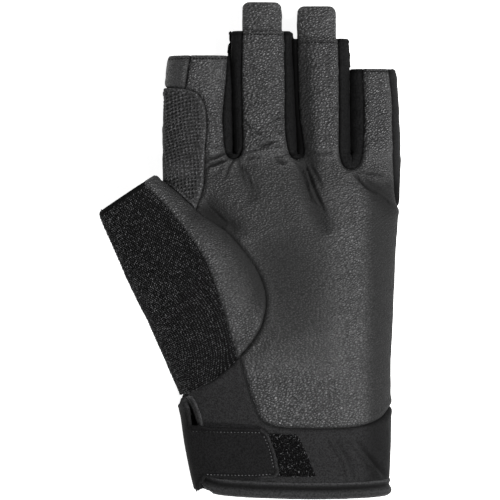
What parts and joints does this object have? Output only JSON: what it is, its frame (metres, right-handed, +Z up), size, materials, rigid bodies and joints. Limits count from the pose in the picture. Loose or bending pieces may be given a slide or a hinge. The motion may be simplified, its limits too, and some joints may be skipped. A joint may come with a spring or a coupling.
{
  "type": "via ferrata glove",
  "caption": "Fingerless climbing glove with a leather palm, stretch gussets, terry thumb, leather pull tabs and a wrist strap over a loop patch, lying with its palm up",
  "frame": {"origin": "on the surface that the glove lies on, under the centre of its outline seen from above", "axes": "+X to the little finger's side, +Y to the fingertips, +Z up out of the palm"},
  "size_m": [0.1263, 0.2083, 0.0289],
  "materials": {
    "palm_leather": "dark grey grained goat leather with a soft sheen",
    "quilted_leather": "dark grey leather stitched through in a fine grid",
    "stretch_fabric": "matt black fine stretch knit",
    "back_fabric": "matt black stretch softshell",
    "terry": "black looped terry",
    "softshell": "matt charcoal softshell",
    "binding_tape": "charcoal stretch edge tape",
    "loop_pile": "black brushed loop pile"
  },
  "bodies": {
    "root": {"palm_leather": "palm_leather", "index_side": "palm_leather", "index_patch": "quilted_leather", "thumb_leather": "palm_leather", "pull_tab_middle": "palm_leather", "pull_tab_ring": "palm_leather", "gusset_index_middle": "stretch_fabric", "gusset_middle_ring": "stretch_fabric", "gusset_ring_little": "stretch_fabric", "back_panel": "back_fabric", "thumb_terry": "terry", "cuff_front": "softshell", "cuff_binding": "binding_tape", "closure_strap": "softshell", "loop_patch": "loop_pile"}
  },
  "joints": []
}
